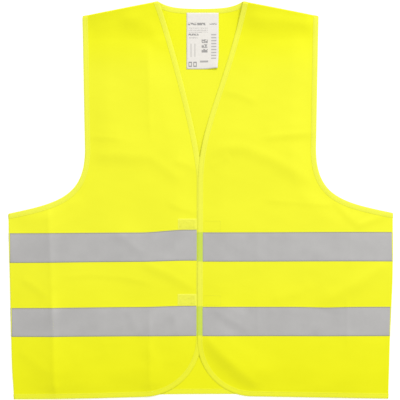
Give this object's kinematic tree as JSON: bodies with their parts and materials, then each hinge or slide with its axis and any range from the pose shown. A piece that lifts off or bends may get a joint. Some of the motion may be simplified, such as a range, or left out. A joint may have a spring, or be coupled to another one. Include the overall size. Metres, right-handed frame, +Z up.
{
  "type": "high visibility vest",
  "caption": "Sleeveless fluorescent work vest lying flat, with bound edges, reflective tape bands, hook and loop closing patches, fronts that fold open and a neck label.",
  "frame": {"origin": "under the middle of the vest, on the surface that it lies on, at the bottom centre of its box", "axes": "+Z up out of the surface, +Y from the hem to the neck, +X to the wearer's left"},
  "size_m": [0.661, 0.682, 0.0117],
  "materials": {
    "fabric": "fluorescent yellow warp-knit polyester, matt, slightly translucent",
    "seam": "the same knit, rolled over the seam, with an overlocked edge in yellow thread",
    "binding": "woven polyester edge binding, paler yellow with a slight sheen, stitched near its inner edge",
    "tape": "silver-grey retroreflective bead coating on a woven backing, stitched near both edges",
    "hook_tape": "pale yellow nylon hooks on a woven base",
    "loop_tape": "pale yellow brushed nylon loops on a woven base",
    "label": "off-white printed satin ribbon, print replaced with plain grey bars"
  },
  "bodies": {
    "root": {"back_panel": "fabric", "back_neck_binding": "binding", "back_hem_binding": "binding", "back_upper_tape": "tape", "back_lower_tape": "tape", "left_shoulder_seam": "seam", "left_side_seam": "seam", "left_armhole_binding": "binding", "left_front_side_panel": "fabric", "left_side_hem_binding": "binding", "left_side_upper_tape": "tape", "left_side_lower_tape": "tape", "right_shoulder_seam": "seam", "right_side_seam": "seam", "right_armhole_binding": "binding", "right_front_side_panel": "fabric", "right_side_hem_binding": "binding", "right_side_upper_tape": "tape", "right_side_lower_tape": "tape"},
    "left_front_flap": {"left_front_flap_panel": "fabric", "left_front_edge_binding": "binding", "left_flap_upper_tape": "tape", "left_flap_lower_tape": "tape", "upper_hook_patch": "hook_tape", "lower_hook_patch": "hook_tape"},
    "right_front_flap": {"right_front_flap_panel": "fabric", "right_front_edge_binding": "binding", "right_flap_upper_tape": "tape", "right_flap_lower_tape": "tape", "upper_loop_patch": "loop_tape", "lower_loop_patch": "loop_tape"},
    "label": {"care_label": "label"}
  },
  "joints": [
    {"name": "left_front_fold", "type": "hinge", "parent": "root", "child": "left_front_flap", "pos_m": [0.117, 0, 0.0114], "axis": [-0.0963, 0.9954, 0], "range_deg": [0, 160]},
    {"name": "right_front_fold", "type": "hinge", "parent": "root", "child": "right_front_flap", "pos_m": [-0.117, 0, 0.0114], "axis": [-0.0963, -0.9954, 0], "range_deg": [0, 160]},
    {"name": "label_flip", "type": "hinge", "parent": "root", "child": "label", "pos_m": [0.0035, 0.31735, 0.0025], "axis": [-1, 0, 0], "range_deg": [0, 150]}
  ]
}
